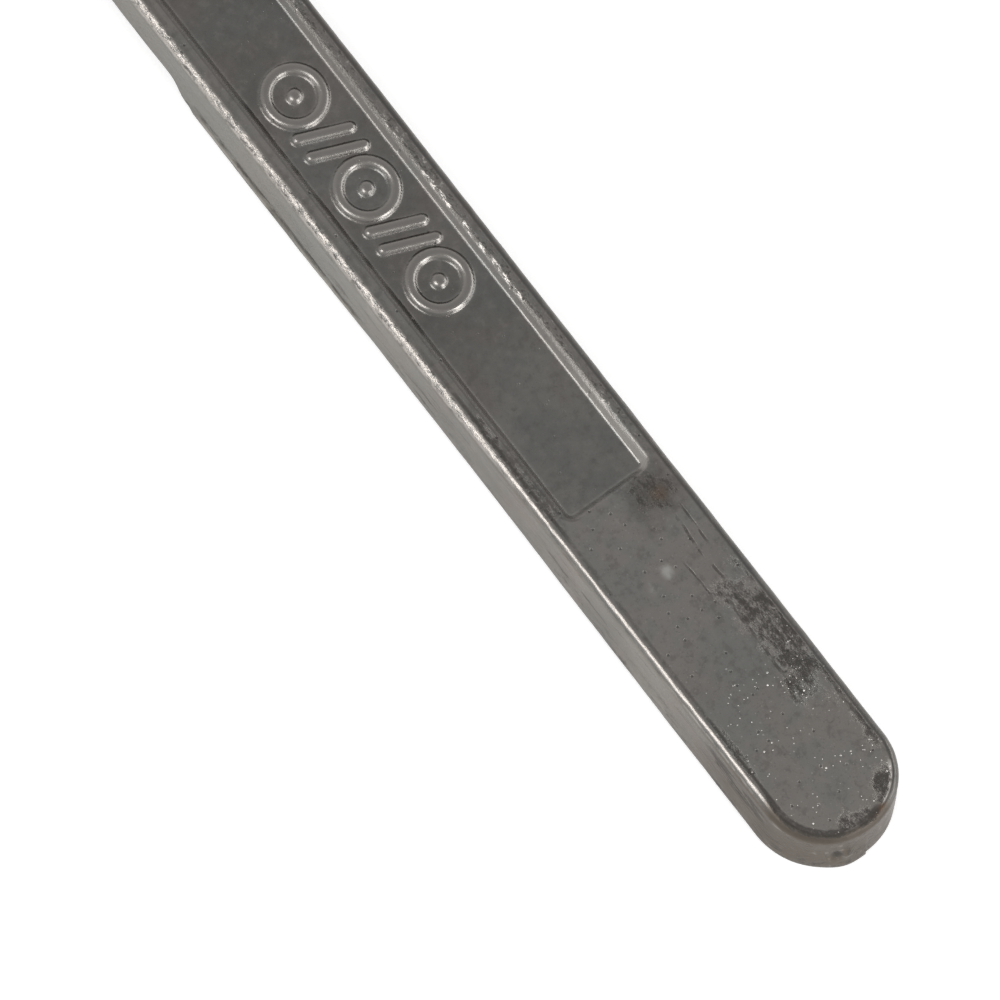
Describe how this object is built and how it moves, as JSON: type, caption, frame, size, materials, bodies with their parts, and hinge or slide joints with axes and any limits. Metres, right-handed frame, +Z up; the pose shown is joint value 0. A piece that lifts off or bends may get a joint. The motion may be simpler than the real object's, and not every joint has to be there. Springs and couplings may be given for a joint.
{
  "type": "solder bar",
  "caption": "Slim cast bar of tin-lead solder with full-round ends, a shallow sunk panel along its top face and a rough poured underside, for melting into a solder pot.",
  "frame": {"origin": "middle of the bar's outline, on the level floor that its two end stretches rest on", "axes": "+X along the bar, +Y across it, +Z up out of the face with the sunk panel"},
  "size_m": [0.33, 0.02, 0.0085],
  "materials": {
    "solder": "satin"
  },
  "bodies": {
    "root": {"solder_bar": "solder"}
  },
  "joints": []
}
